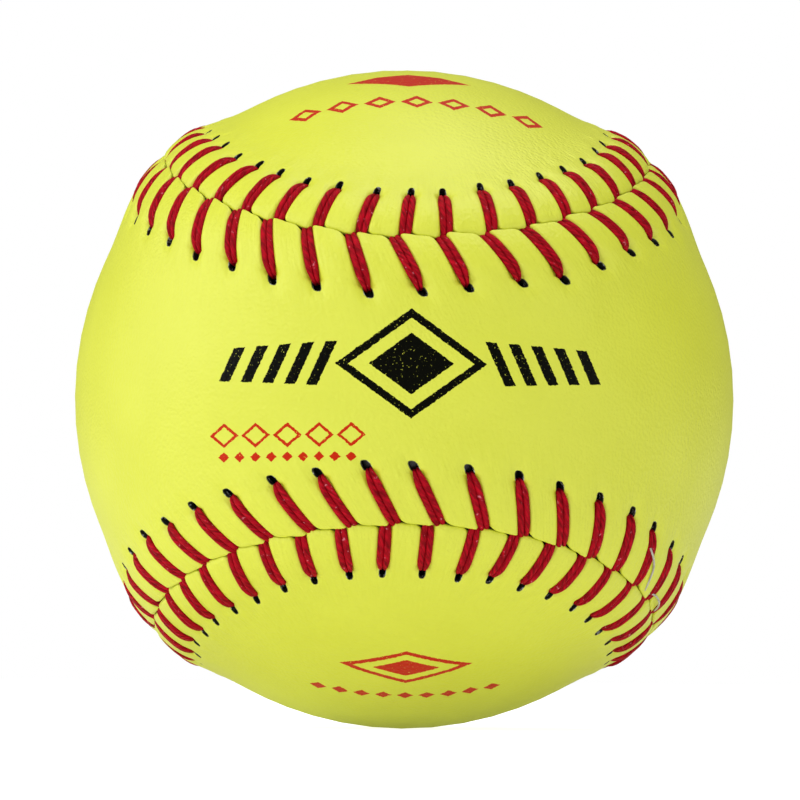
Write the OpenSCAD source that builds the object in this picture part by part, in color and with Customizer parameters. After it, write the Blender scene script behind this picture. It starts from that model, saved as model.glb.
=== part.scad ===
// Softball: a polyurethane core, a film of cement, two waisted leather panels and the
// doubled red lacing that draws their edges together in 88 raised V stitches.
// The ball's centre is the origin. The middle of panel A's waist faces -Y, and its lobes lie
// round +X and -X. Panel B is cut alike and lies turned over, with its waist at +Y.

/* [Ball] */
// Girth of the ball over plain leather
girth = 304.8; // [285:0.1:325]
// Thickness of the leather cover
leather_t = 1.3; // [1.15:0.05:1.6]
// Thickness of the cement film
cement_t = 0.2; // [0.1:0.05:0.4]

/* [Seam] */
// Width of a panel's waist, straight across from seam to seam
waist_w = 38.8; // [36:0.1:42]
// How far the lobes swell, as a share of the seam's main swing
lobe_share = 0.48; // [0.45:0.005:0.5]
// How much narrower panel B's upper lobe is drawn than its lower one, as such a share
draw_share = 0.036; // [0:0.002:0.05]
// Stitches round the whole seam, an even number
stitch_n = 88; // [84:2:92]
// Shift of the first stitch along the seam from the middle of panel A's waist
first_shift = -2.6; // [-3:0.1:3]
// How far the hand lacing wanders from even spacing over one turn of the seam
wander = 0.9; // [0:0.1:1.2]

/* [Lacing] */
// Diameter of one strand of the doubled thread
strand_d = 0.72; // [0.6:0.01:0.76]
// Depth by which the two strands of a pair are pressed into each other
strand_lap = 0.04; // [0.02:0.01:0.08]
// Distance along the seam between the two legs of a V
leg_step = 1.74; // [1.7:0.01:1.9]
// Distance from the seam to the row of awl holes
hole_reach = 6.9; // [6.4:0.1:7.2]
// Length of an awl hole, away from the seam
hole_l = 1.9; // [1.8:0.05:2.2]
// How far a hole lies ahead of its stitch at the waist of its own panel
waist_lean = 2.4; // [1.6:0.1:3.2]
// How far a hole lies ahead of its stitch round the lobes of its own panel
lobe_lean = 1.3; // [0.6:0.1:1.6]

/* [Welt] */
// Height of the leather under a leg, above plain leather, at the top of its arch
furrow_h = 1.4; // [1.2:0.05:1.6]
// Height of the leather between two stitches, above plain leather
puff_h = 1.9; // [1.7:0.05:2.1]
// Height of the welt's hollow above the cement
tunnel_h = 1; // [0.95:0.01:1.05]
// Gap between the leather edges from one stitch to the next
lip_gap = 0.2; // [0.1:0.05:0.4]
// Distance from the seam at which the welt has faded into plain leather
welt_reach = 10.8; // [10.4:0.1:12]

/* [Hidden] */

ball_r = girth / (2 * PI);
cement_r = ball_r - leather_t;
core_r = cement_r - cement_t;
tunnel_r = cement_r + tunnel_h;

// The lacing's own small sizes
// Clearance of a strand to the leather and to the cement
clear = 0.06;
// Height of a strand's middle above plain leather where a leg meets the seam or its hole
end_h = 0.4;
// Depth below plain leather at which the middle of a leg ends, in the seam or in its hole
sink = 0.1;
// How far inside its own panel a leg meets the seam
dive_w = 0.35;
strand_r = strand_d / 2;
strand_mid = (strand_d - strand_lap) / 2;
pair_half = strand_mid + strand_r;
run_r = cement_r + clear + strand_r;
top_r = ball_r + furrow_h + clear + strand_r;

// The leather's own small sizes
// Room beside a pair of strands in its furrow
furrow_play = 0.2;
furrow_half = pair_half + furrow_play;
// Distance from the seam to the leather edge where the legs dive in
notch_w = 0.8;
notch_half = leg_step / 2 + furrow_half;
// Distance of a hole's near rim from the middle of the strands
rim_near = 0.5;
// Clearance of the leather's flat facets to the round cement
facet_clear = 0.24;
// Heights of the leather between stitches, from the seam outward, as shares of the puff
lip_share = 0.55;
crest_shares = [1, 0.95];
near_share = 0.6;
far_share = 0.35;
flank_share = 0.07;
// Height of a hole's far rim as a share of the furrow
rim_share = 0.2;

// The seam
// It runs on a ball of radius 1, from the middle of panel A's waist through every lobe. The
// leather gives under the pull of the lacing, so one lobe comes out a little narrower.
waist_half = asin(waist_w / 2 / ball_r);
rise_share = (1 - lobe_share) / tan(waist_half);
function unit(v) = v / norm(v);
function seam_at(a) = unit([sin(a) + lobe_share * sin(3 * a) - draw_share * sin(2 * a),
                            -rise_share * cos(2 * a),
                            cos(a) - lobe_share * cos(3 * a)]);
seam_steps = 1440;
seam_turn = [for (k = [0 : seam_steps]) 360 * k / seam_steps];
seam_chord = [for (k = [1 : seam_steps])
    ball_r * norm(seam_at(seam_turn[k]) - seam_at(seam_turn[k - 1]))];
seam_sum = [for (k = 0, s = 0; k <= seam_steps;
                 s = s + (k < seam_steps ? seam_chord[k] : 0), k = k + 1) s];
seam_l = seam_sum[seam_steps];
seam_table = [for (k = [0 : seam_steps]) [seam_sum[k], seam_turn[k]]];
function lap(s) = s - seam_l * floor(s / seam_l);
function seam_dir(s) = seam_at(lookup(lap(s), seam_table));
probe = seam_l / seam_steps;
function seam_tangent(s) = unit(seam_dir(s + probe) - seam_dir(s - probe));

// A direction from the ball's centre
// It meets the ball s along the seam and w to one side: side -1 is panel A and 1 is panel B.
function place(side, s, w) =
    let (c = seam_dir(s), turn = w / ball_r * 180 / PI)
    cos(turn) * c + side * sin(turn) * unit(cross(c, seam_tangent(s)));
function between(p, q, share) = unit((1 - share) * p + share * q);

// The stitches
pitch = seam_l / stitch_n;
function stitch_s(i) = first_shift + i * pitch + wander * cos(360 * i / stitch_n);
function lean(side, i) = (waist_lean + lobe_lean) / 2
    - side * (waist_lean - lobe_lean) / 2 * cos(720 * i / stitch_n);
function dive_s(side, i) = stitch_s(i) + side * leg_step / 2;
function hole_s(side, i) = stitch_s(i) + lean(side, i);
function dive(side, i, off = 0) = place(side, dive_s(side, i) + off, dive_w);
function hole(side, i, off = 0) = place(side, hole_s(side, i) + off, hole_reach);
function span_of(p, q) = acos(p * q);
function leg_span(side, i) = span_of(dive(side, i), hole(side, i));

// The arch of a leg over the welt
// It lies in a plane through the ball's centre, is alike at both ends, and is a round arc
// through its top and through the places where it meets the seam and its hole.
function arch_r(span) =
    let (end_r = ball_r + end_h,
         half = end_r * sin(span / 2),
         rise = top_r - end_r * cos(span / 2))
    (pow(half, 2) + pow(rise, 2)) / (2 * rise);
function arch_out(span) = top_r - arch_r(span);
function arch_half(span) =
    let (r = arch_r(span), m = top_r - r)
    acos((pow(ball_r - sink, 2) - pow(m, 2) - pow(r, 2)) / (2 * m * r));
// Distance from the ball's centre to the leather under the arch, at a share of the span
function floor_r(span, share) =
    let (a = span * (share - 0.5), r = arch_r(span) - strand_r - clear, m = arch_out(span))
    m * cos(a) + sqrt(pow(r, 2) - pow(m * sin(a), 2));

// Turns the plane of a leg so that Y points out at one end and X to the other end
module in_plane(from, to) {
    x = unit(to - (to * from) * from);
    z = cross(x, from);
    multmatrix([[x[0], from[0], z[0], 0],
                [x[1], from[1], z[1], 0],
                [x[2], from[2], z[2], 0],
                [0, 0, 0, 1]])
        children();
}

// Two strands side by side, bent to one arc
module pair_arc(r, start, sweep) {
    rotate([0, 0, start])
        rotate_extrude(angle = sweep, $fn = 96)
            translate([r, 0])
                for (way = [-1, 1])
                    translate([0, way * strand_mid]) circle(d = strand_d, $fn = 48);
}

// A leg from the seam over the welt into its hole
module leg(side, i) {
    span = leg_span(side, i);
    half = arch_half(span);
    in_plane(dive(side, i), hole(side, i))
        rotate([0, 0, -span / 2])
            translate([0, arch_out(span), 0])
                pair_arc(arch_r(span), 90 - half, 2 * half);
}

// The hidden run from a hole back under the same panel to the next stitch in the seam
module hidden_run(side, i) {
    from = hole(side, i);
    to = dive(-side, i + 1);
    span = span_of(from, to);
    in_plane(from, to) pair_arc(run_r, 90 - span, span);
}

// One thread. Its stitches lie by turns on panel A and on panel B, first_side first.
module thread(first_side) {
    color("#b3241f")
        for (i = [0 : stitch_n - 1]) {
            side = i % 2 == 0 ? first_side : -first_side;
            leg(side, i);
            hidden_run(side, i);
        }
}

// The leather of a panel
// It is one closed skin of rings that follow the seam. A ring has one, two or four points a
// stitch: the first two lie at the edges of a leg's furrow, and the others on the puff.
function furrow_edge(side, i, way, share) =
    between(dive(side, i, way * furrow_half), hole(side, i, way * furrow_half), share);
function lip_ring(side) = [for (i = [0 : stitch_n - 1])
    let (s0 = stitch_s(i) - notch_half,
         s1 = stitch_s(i) + notch_half,
         s4 = stitch_s(i + 1) - notch_half,
         r = floor_r(leg_span(side, i), (notch_w - dive_w) / (hole_reach - dive_w)))
    each [r * place(side, s0, notch_w),
          r * place(side, s1, notch_w),
          (ball_r + lip_share * puff_h) * place(side, (2 * s1 + s4) / 3, lip_gap / 2),
          (ball_r + lip_share * puff_h) * place(side, (s1 + 2 * s4) / 3, lip_gap / 2)]];
function edge_ring(side) = [for (i = [0 : stitch_n - 1])
    each [tunnel_r * place(side, stitch_s(i) - notch_half, notch_w),
          tunnel_r * place(side, stitch_s(i) + notch_half, notch_w)]];
// A ring over the welt at a share of each leg's span
function welt_ring(side, share, puff_r) = [for (i = [0 : stitch_n - 1])
    let (left = furrow_edge(side, i, -1, share),
         right = furrow_edge(side, i, 1, share),
         next = furrow_edge(side, i + 1, -1, share),
         r = floor_r(leg_span(side, i), share))
    each [r * left, r * right,
          puff_r * between(right, next, 1 / 3),
          puff_r * between(right, next, 2 / 3)]];
// Shares of a leg's span at the near and at the far rim of its hole
function near_share_of(side, i) = 1 - rim_near / (ball_r * leg_span(side, i) * PI / 180);
function far_share_of(side, i) =
    1 + (hole_l - rim_near) / (ball_r * leg_span(side, i) * PI / 180);
function rim_share_of(side, i, far) = far ? far_share_of(side, i) : near_share_of(side, i);
// The rim of every hole, and the puffs beside it
function rim_ring(side, far, puff_r) = [for (i = [0 : stitch_n - 1])
    let (share = rim_share_of(side, i, far),
         left = furrow_edge(side, i, -1, share),
         right = furrow_edge(side, i, 1, share),
         next = furrow_edge(side, i + 1, -1, rim_share_of(side, i + 1, far)),
         r = far ? ball_r + rim_share * furrow_h : floor_r(leg_span(side, i), share))
    each [r * left, r * right,
          puff_r * between(right, next, 1 / 3),
          puff_r * between(right, next, 2 / 3)]];
// The foot of every hole's wall, in the welt's hollow
function foot_ring(side, far) = [for (i = [0 : stitch_n - 1])
    let (share = rim_share_of(side, i, far))
    each [tunnel_r * furrow_edge(side, i, -1, share),
          tunnel_r * furrow_edge(side, i, 1, share)]];
flank_w = (hole_reach + hole_l + welt_reach) / 2;
function flank_ring(side) = [for (i = [0 : stitch_n - 1])
    each [(ball_r + flank_share * puff_h) * place(side, hole_s(side, i), flank_w),
          (ball_r + flank_share * puff_h)
              * place(side, (hole_s(side, i) + hole_s(side, i + 1)) / 2, flank_w)]];

// Plain leather inside the welt
// Its rings close in on a panel's spine, the middle line from lobe to lobe. The spine ends
// short of the lobes' tips, where the rings turn round its end.
spine_end = 95;
tip_turn = 180 - waist_half - welt_reach / ball_r * 180 / PI;
function spine(side, p) =
    let (turn = side < 0 ? atan2(p[0], -p[1]) : atan2(p[2], p[1]),
         a = spine_end * sin(90 * turn / tip_turn))
    side < 0 ? [sin(a), -cos(a), 0] : [0, cos(a), sin(a)];
function plain_ring(side, r, share) = [for (i = [0 : stitch_n - 1])
    let (p = place(side, hole_s(side, i), welt_reach))
    r * between(p, spine(side, p), share)];
outer_shares = [0, 0.15, 0.33, 0.51, 0.69, 0.87];
inner_shares = [0, 0.17, 0.35, 0.53, 0.7, 0.87];

// Faces between rings
// A ring is [first point, points a stitch]. Up and down are triangles with their base on the
// lower or on the upper of two rings.
function at(ring, j) =
    let (m = ring[1] * stitch_n) ring[0] + (j - m * floor(j / m));
function up(low, j, high, k) = [at(low, j), at(high, k), at(low, j + 1)];
function down(low, j, high, k) = [at(low, j), at(high, k), at(high, k + 1)];
function strip(low, high, cells) = [for (i = [0 : stitch_n - 1], c = cells)
    let (j = i * low[1] + c)
    each [down(low, j, high, j), up(low, j, high, j + 1)]];
function split_strip(low, high) = [for (i = [0 : stitch_n - 1])
    let (j = 2 * i, k = 4 * i)
    each [down(low, j, high, k), up(low, j, high, k + 1), down(low, j + 1, high, k + 1),
          down(low, j + 1, high, k + 2), up(low, j + 1, high, k + 3),
          down(low, j + 2, high, k + 3)]];
function join_strip(low, high) = [for (i = [0 : stitch_n - 1])
    let (j = 4 * i, k = 2 * i)
    each [up(low, j, high, k), up(low, j + 1, high, k), down(low, j + 2, high, k),
          up(low, j + 2, high, k + 1), up(low, j + 3, high, k + 1),
          down(low, j + 4, high, k + 1)]];
function end_strip(low, high) = [for (i = [0 : stitch_n - 1])
    let (j = 2 * i)
    each [up(low, j, high, i), down(low, j + 1, high, i), up(low, j + 1, high, i + 1)]];
// Closes a panel along its spine, from the tip of one lobe to the tip of the other
function spine_strip(ring, tip) = [for (m = [0 : stitch_n / 2 - 1])
    each concat(m > 0 ? [[at(ring, tip + m + 1), at(ring, tip + m), at(ring, tip - m)]] : [],
                m < stitch_n / 2 - 1
                    ? [[at(ring, tip + m + 1), at(ring, tip - m), at(ring, tip - m - 1)]] : [])];
function hole_walls(near, far, near_low, far_low) = [for (i = [0 : stitch_n - 1])
    let (a = at(near, 4 * i), b = at(near, 4 * i + 1),
         c = at(far, 4 * i), d = at(far, 4 * i + 1),
         e = at(near_low, 2 * i), f = at(near_low, 2 * i + 1),
         g = at(far_low, 2 * i), h = at(far_low, 2 * i + 1))
    each [[b, a, e], [b, e, f], [c, d, h], [c, h, g],
          [a, c, g], [a, g, e], [d, b, f], [d, f, h]]];
function turned(faces) = [for (f = faces) [f[0], f[2], f[1]]];
function starts(counts) = [for (k = 0, s = 0;
                                k < len(counts);
                                s = s + counts[k] * stitch_n, k = k + 1) [s, counts[k]]];

module panel(side) {
    points = concat(
        edge_ring(side),
        lip_ring(side),
        welt_ring(side, 1 / 3, ball_r + crest_shares[0] * puff_h),
        welt_ring(side, 2 / 3, ball_r + crest_shares[1] * puff_h),
        rim_ring(side, false, ball_r + near_share * puff_h),
        rim_ring(side, true, ball_r + far_share * puff_h),
        flank_ring(side),
        [for (share = outer_shares) each plain_ring(side, ball_r, share)],
        foot_ring(side, false),
        foot_ring(side, true),
        [for (share = inner_shares) each plain_ring(side, cement_r + facet_clear, share)]);
    welt_counts = [2, 4, 4, 4, 4, 4, 2];
    welt_n = len(welt_counts);
    outer_n = len(outer_shares);
    inner_n = len(inner_shares);
    ring = starts(concat(welt_counts, [for (s = outer_shares) 1],
                         [2, 2], [for (s = inner_shares) 1]));
    low = welt_n + outer_n;
    tip = side < 0 ? round(stitch_n / 4) : 0;
    cells = [0, 1, 2, 3];
    outside = concat(
        split_strip(ring[0], ring[1]),
        strip(ring[1], ring[2], cells),
        strip(ring[2], ring[3], cells),
        strip(ring[3], ring[4], cells),
        strip(ring[4], ring[5], [1, 2, 3]),
        join_strip(ring[5], ring[welt_n - 1]),
        end_strip(ring[welt_n - 1], ring[welt_n]),
        [for (k = [welt_n + 1 : low - 1]) each strip(ring[k - 1], ring[k], [0])],
        spine_strip(ring[low - 1], tip),
        hole_walls(ring[4], ring[5], ring[low], ring[low + 1]));
    inside = concat(
        strip(ring[0], ring[low], [0, 1]),
        strip(ring[low], ring[low + 1], [1]),
        end_strip(ring[low + 1], ring[low + 2]),
        [for (k = [low + 3 : low + 1 + inner_n]) each strip(ring[k - 1], ring[k], [0])],
        spine_strip(ring[low + 1 + inner_n], tip));
    faces = concat(outside, turned(inside));
    color("#dbe35c") polyhedron(points, side > 0 ? faces : turned(faces));
}

module core() {
    color("#d9cfa8") sphere(r = core_r, $fn = 128);
}

module cement_film() {
    color("#b8b8a0")
        difference() {
            sphere(r = cement_r, $fn = 128);
            sphere(r = core_r, $fn = 128);
        }
}

module cover_panel_a() {
    panel(-1);
}

module cover_panel_b() {
    panel(1);
}

module lacing_thread_one() {
    thread(-1);
}

module lacing_thread_two() {
    thread(1);
}

core();
cement_film();
cover_panel_a();
cover_panel_b();
lacing_thread_one();
lacing_thread_two();
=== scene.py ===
# %% [markdown]
# # A stitched leather softball
# A softball is a solid foam core under two leather panels, each shaped like a figure of eight.
# Two doubled red threads lace the panels' edges together. This lesson builds the leather and
# the threads in Blender around the ball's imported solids, in the same place and at real size.

# %% The frame
import math

import bmesh
import bpy
import numpy as np
from mathutils import Matrix, Quaternion, Vector


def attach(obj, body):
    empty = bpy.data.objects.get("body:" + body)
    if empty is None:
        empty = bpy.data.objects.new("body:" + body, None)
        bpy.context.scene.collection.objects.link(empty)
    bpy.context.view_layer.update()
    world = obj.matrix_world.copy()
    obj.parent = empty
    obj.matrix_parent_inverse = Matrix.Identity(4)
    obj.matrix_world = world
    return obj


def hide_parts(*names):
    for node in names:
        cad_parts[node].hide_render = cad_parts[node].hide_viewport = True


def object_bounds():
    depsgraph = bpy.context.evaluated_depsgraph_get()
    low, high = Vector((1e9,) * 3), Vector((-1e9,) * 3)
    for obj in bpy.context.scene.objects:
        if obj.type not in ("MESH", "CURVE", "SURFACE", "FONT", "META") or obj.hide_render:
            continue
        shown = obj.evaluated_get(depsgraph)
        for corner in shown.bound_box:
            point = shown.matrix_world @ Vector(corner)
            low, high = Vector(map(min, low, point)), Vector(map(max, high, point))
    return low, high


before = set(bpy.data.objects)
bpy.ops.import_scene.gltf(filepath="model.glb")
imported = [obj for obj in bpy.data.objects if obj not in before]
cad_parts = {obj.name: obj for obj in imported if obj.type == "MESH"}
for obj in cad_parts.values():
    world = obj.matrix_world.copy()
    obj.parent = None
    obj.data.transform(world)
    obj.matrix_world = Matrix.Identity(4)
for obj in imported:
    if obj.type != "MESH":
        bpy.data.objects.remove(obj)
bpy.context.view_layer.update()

# %% [markdown]
# ## The sizes of the ball
# Everything is worked out from a few sizes that a ball maker would know: the girth, the
# leather, the waist of a panel and the stitches. They are written in millimetres and turned
# into metres once, when a mesh is finished.

# %% Sizes
MM = 0.001
GIRTH = 304.8
LEATHER = 1.3
WAIST = 38.8
LOBE_SHARE = 0.48
DRAW_SHARE = 0.036
STITCHES = 88
FIRST_SHIFT = -2.6
WANDER = 0.9
STRAND_WIDE = 0.97
STRAND_HIGH = 0.8
LEG_STEP = 1.35
LEG_REACH = {-1: 7.1, 1: 6.85}
WAIST_LEAN = 2.4
LOBE_LEAN = 1.3
WELT_H = 1.87
ROW_SHARE = 0.165
WELT_REACH = 13

BALL_R = GIRTH / (2 * math.pi)
CEMENT_R = BALL_R - LEATHER
print(f"ball radius {BALL_R:.2f} mm, cement radius {CEMENT_R:.2f} mm")

# %% [markdown]
# ## The camera
# The camera comes first, because it decides how fine each detail has to be. It stands a
# little below the ball's middle and looks slightly up. The lens is long, as for a product
# photograph, so the far rows of stitches are hardly smaller than the near ones.

# %% Camera
CAMERA_FAR = 14.5 * BALL_R
TILT_AXIS_DEG = Vector((-3.27, 0.45, 1.14))
BALL_WIDE_PX, FRAME_PX = 658.6, 800
BALL_AT_PX = (404.2, 399.4)
SENSOR = 36

tilt = Quaternion(TILT_AXIS_DEG.normalized(), math.radians(TILT_AXIS_DEG.length)).to_matrix()
focal_px = BALL_WIDE_PX / 2 / math.tan(math.asin(BALL_R / CAMERA_FAR))
away = tilt.transposed() @ Vector((0, -1, 0))
camera_axes = Matrix([tilt[0], tilt[2], away]).transposed()
bpy.ops.object.camera_add(location=away * CAMERA_FAR * MM,
                          rotation=camera_axes.to_euler())
camera = bpy.context.object
camera.data.sensor_width = SENSOR
camera.data.lens = focal_px * SENSOR / FRAME_PX
camera.data.shift_x = (FRAME_PX / 2 - BALL_AT_PX[0]) / FRAME_PX
camera.data.shift_y = (BALL_AT_PX[1] - FRAME_PX / 2) / FRAME_PX
camera.data.clip_start, camera.data.clip_end = 0.01, 100
bpy.context.scene.camera = camera
print(f"lens {camera.data.lens:.1f} mm, {CAMERA_FAR:.0f} mm from the ball's centre")

# %% [markdown]
# ## The seam
# The seam is one closed line with four swings, one of them drawn a little narrower than the
# rest. A few sines give it, and a table of its length turns a distance along the seam into a
# place on the ball. From there, a second distance goes square to the seam, to one side for
# panel A and to the other for panel B.

# %% The seam as a curve
TABLE_STEPS = 5760


def unit(v):
    return v / np.linalg.norm(v, axis=-1, keepdims=True)


waist_half = math.asin(WAIST / 2 / BALL_R)
RISE_SHARE = (1 - LOBE_SHARE) / math.tan(waist_half)


def seam_at(a):
    """A direction on the seam: a is the turn in radians, from the middle of A's waist."""
    return unit(np.stack([np.sin(a) + LOBE_SHARE * np.sin(3 * a) - DRAW_SHARE * np.sin(2 * a),
                          -RISE_SHARE * np.cos(2 * a),
                          np.cos(a) - LOBE_SHARE * np.cos(3 * a)], axis=-1))


turn_table = np.linspace(0, 2 * math.pi, TABLE_STEPS + 1)
seam_points = BALL_R * seam_at(turn_table)
length_table = np.concatenate([[0], np.cumsum(np.linalg.norm(np.diff(seam_points, axis=0),
                                                             axis=1))])
SEAM_L = length_table[-1]
PITCH = SEAM_L / STITCHES
print(f"seam {SEAM_L:.1f} mm, one stitch every {PITCH:.2f} mm")


def seam_dir(s):
    return seam_at(np.interp(np.mod(s, SEAM_L), length_table, turn_table))


def place(side, s, w):
    """A direction s along the seam and w to one side: side -1 is panel A and 1 is panel B."""
    probe = SEAM_L / TABLE_STEPS
    c = seam_dir(s)
    square = unit(np.cross(c, seam_dir(s + probe) - seam_dir(s - probe)))
    turn = (np.asarray(w) / BALL_R)[..., None]
    return np.cos(turn) * c + side * np.sin(turn) * square


def between(p, q, share):
    return unit((1 - share) * p + share * q)


# %% [markdown]
# ## Where the stitches lie
# A stitch is a V: one leg over each panel, from the seam to an awl hole. Where a panel's own
# waist runs, the holes lie further ahead of the stitch than they do round its lobes, so the
# legs lean. A leg climbs from the seam to the top of the raised welt of leather, runs down
# the far side and turns steeply into its hole on the welt's shoulder. The welt stands a little
# higher in the upper row of stitches than in the lower one. A ball is laced by hand, so the
# stitches crowd a little on one half of the seam (WANDER), and each leg's ends stray from their
# even places, by seeded draws that never change.

# %% Stitches
SEAM_W = 0.2
START_H = 1.1
TOP_H = 1.65
HOLE_H = 0.48
TOP_SHARE = 0.36
FALL_POWER, FALL_ROUND = 3.5, 0.8
BY_HAND_MM = (0.16, 0.22, 0.16)
MOST_BY_HAND = 0.45
draw = np.random.default_rng(12)
by_hand = {(side, k): np.clip(amount * draw.standard_normal(STITCHES), -MOST_BY_HAND,
                              MOST_BY_HAND)
           for side in (-1, 1) for k, amount in enumerate(BY_HAND_MM)}


def stitch_s(i):
    return FIRST_SHIFT + i * PITCH + WANDER * np.cos(2 * math.pi * i / STITCHES)


def lean(side, i):
    swing = np.cos(4 * math.pi * i / STITCHES)
    return (WAIST_LEAN + LOBE_LEAN) / 2 - side * (WAIST_LEAN - LOBE_LEAN) / 2 * swing


def leg_start(side, i, off=0.0):
    """Where a leg leaves the seam."""
    stray = by_hand[side, 0][np.mod(i, STITCHES)]
    return place(side, stitch_s(i) + side * LEG_STEP / 2 + stray + off,
                 np.full(np.shape(i), SEAM_W))


def leg_end(side, i, off=0.0):
    """Where a leg meets its hole."""
    stray, reach = (by_hand[side, k][np.mod(i, STITCHES)] for k in (1, 2))
    return place(side, stitch_s(i) + lean(side, i) + stray + off, LEG_REACH[side] + reach)


def row_gain(i):
    return 1 + ROW_SHARE * np.cos(2 * math.pi * np.asarray(i) / STITCHES)


def leg_h(share, i):
    """Height of the middle of a leg's strands above plain leather, at a share of its length."""
    climb = np.clip(share / TOP_SHARE, 0, 1)
    fall = np.clip((share - TOP_SHARE) / (1 - TOP_SHARE), 0, 1)
    height = np.where(share < TOP_SHARE,
                      START_H + (TOP_H - START_H) * np.sin(math.pi / 2 * climb),
                      HOLE_H + (TOP_H - HOLE_H) * (1 - fall ** FALL_POWER) ** FALL_ROUND)
    return height * row_gain(i)


every = np.arange(STITCHES)
leg_mm = [BALL_R * np.arccos((leg_start(side, every) * leg_end(side, every)).sum(-1))
          for side in (-1, 1)]
print("legs of panel A and B are", [f"{m.min():.1f} to {m.max():.1f} mm" for m in leg_mm])

# %% [markdown]
# ## The leather panels
# A panel is a flat blank of leather, drawn over the ball and pulled up into a welt by the
# lacing. So it starts as a flat grid. Its columns are laid across the welt, closer together
# beside the threads, and its rows run along the seam. Each point of the grid is then lifted
# to the height of the leather there: a furrow under each leg, and a puff between two legs.

# %% Columns and rows of the leather
BESIDE_LEG = (0, 0.2, 0.38, 0.56, 0.76, 0.92, 1.08, 1.3, 1.6)
PUFF_COLUMNS = 3
COLUMNS = 2 * len(BESIDE_LEG) - 1 + PUFF_COLUMNS
LEG_BAND = BESIDE_LEG[-1]
PUFF_BAND = PITCH - 2 * LEG_BAND
LIP_ROWS = (0, 0.05, 0.13, 0.26, 0.45, 0.7, 1.0, 1.4, 2, 2.7, 3.4, 4.1, 4.8, 5.4, 5.8)
HOLE_MID_W = {-1: 7.8, 1: 7.5}
FROM_HOLE = (-1.2, -0.95, -0.7, -0.45, -0.2, 0.05, 0.3, 0.55, 0.8, 1.05)
FLANK_ROWS = (9.1, 9.6, 10.2, 11, 12, WELT_REACH)
SPINE_SHARES = (0.1, 0.22, 0.35, 0.5, 0.66, 0.83, 1)
INNER_SHARES = (0.33, 0.66, 1)

right_of_leg = [(0, x, 0) for x in BESIDE_LEG]
on_puff = [(0, LEG_BAND, k / (PUFF_COLUMNS + 1)) for k in range(1, PUFF_COLUMNS + 1)]
left_of_leg = [(1, -x, 0) for x in reversed(BESIDE_LEG[1:])]
column_kinds = right_of_leg + on_puff + left_of_leg
WIDE = COLUMNS * STITCHES
leg_no = np.concatenate([[i + kind[0] for kind in column_kinds] for i in range(STITCHES)])
off_leg = np.tile([kind[1] for kind in column_kinds], STITCHES).astype(float)
on_share = np.tile([kind[2] for kind in column_kinds], STITCHES).astype(float)
print(f"{COLUMNS} columns a stitch, {WIDE} round the seam")

# %% [markdown]
# The leather between the legs differs too. A few more draws make each puff a little higher or
# lower than its neighbour, and each curve of the edge a little stronger or weaker.

# %% Small differences from stitch to stitch
PUFFS_DIFFER = 0.07
CURVES_DIFFER = 0.35
puff_gain = {side: 1 + PUFFS_DIFFER * draw.standard_normal(STITCHES + 1) for side in (-1, 1)}
scallop_gain = 1 + CURVES_DIFFER * draw.standard_normal(STITCHES + 1)
for gains in (puff_gain[-1], puff_gain[1], scallop_gain):
    gains[STITCHES] = gains[0]
print("puffs vary by", f"{puff_gain[-1].std():.2f} of their height")

# %% [markdown]
# The two leather edges meet in a thin line that winds a little, because each leg draws its
# own edge back. A small dark corner shows beside the leg there.

# %% The leather's edge
NOTCH_W = 0.55
NOTCH_HALF = 0.7
NOTCH_AWAY = 0.6
WIND_W = 0.18
WIND_TWICE = 0.5


def from_leg(off):
    """Signed distances along the seam to the leg on the left and to the leg on the right."""
    left = np.where(off < 0, off + PITCH, off + on_share * PUFF_BAND)
    return left, left - PITCH


def lip_w(side):
    """Distance from the seam to the leather's edge, column by column."""
    left, right = from_leg(off_leg)
    away = side * NOTCH_AWAY
    notch = NOTCH_W * (np.exp(-((left - away) / NOTCH_HALF) ** 2)
                       + np.exp(-((right - away) / NOTCH_HALF) ** 2))
    turn = 2 * math.pi * (left + side * LEG_STEP / 2) / PITCH
    wind = WIND_W * scallop_gain[puff_no] * (np.sin(turn) + WIND_TWICE * np.sin(2 * turn))
    return notch + side * wind


puff_no = leg_no - (off_leg < 0)
puff_share = from_leg(off_leg)[0] / PITCH
lips = {side: lip_w(side) for side in (-1, 1)}
print("the edges lie up to", [f"{lip.max():.2f} mm" for lip in lips.values()], "from the seam")

# %% [markdown]
# Away from the seam, the welt fades into the plain leather, more slowly on panel A. Shallow
# puckers, each a wave of its own, run over the welt. They and the differences between the
# puffs fade sooner than the welt does.

# %% The height of the welt
LIP_SHARE = 0.88
CREST_W = {-1: 2.6, 1: 2.4}
FADE_W = {-1: 19.2, 1: 17}
FADE_POWER = {-1: 1.5, 1: 2}
GAIN_FADE_FROM, PUCKER_FADE_FROM, SMALL_FADE_OVER = 6, 5, 6
PUCKER_H = 0.03
PUCKER_WAVES = 9
PUCKER_RANGE = ((0.5, 0.2, 0), (2.6, 0.9, 2 * math.pi))
puckers = draw.uniform(*PUCKER_RANGE, (PUCKER_WAVES, 3))


def ease(t):
    return 0.5 - 0.5 * np.cos(math.pi * np.clip(t, 0, 1))


def welt_h(side, w):
    """Height of the welt between two legs, w from the seam, before the small differences."""
    rise = LIP_SHARE + (1 - LIP_SHARE) * np.sin(math.pi / 2 * np.clip(w / CREST_W[side], 0, 1))
    past = (w - CREST_W[side]) / (FADE_W[side] - CREST_W[side])
    return WELT_H * rise * (1 - ease(past)) ** FADE_POWER[side]


def welt_gain(side, w):
    """How much higher or lower the welt is at each column, as a share of its height."""
    gains = puff_gain[side]
    own, before, after = (gains[(puff_no + k) % STITCHES] for k in (0, -1, 1))
    at_leg = own / 2 + before / 2 * (1 - ease(puff_share)) + after / 2 * ease(puff_share)
    each = at_leg + (own - at_leg) * np.sin(math.pi * puff_share) ** 2
    small = (each - 1) * (1 - ease((w - GAIN_FADE_FROM) / SMALL_FADE_OVER))
    return row_gain(puff_no + puff_share) * (1 + small)


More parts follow.
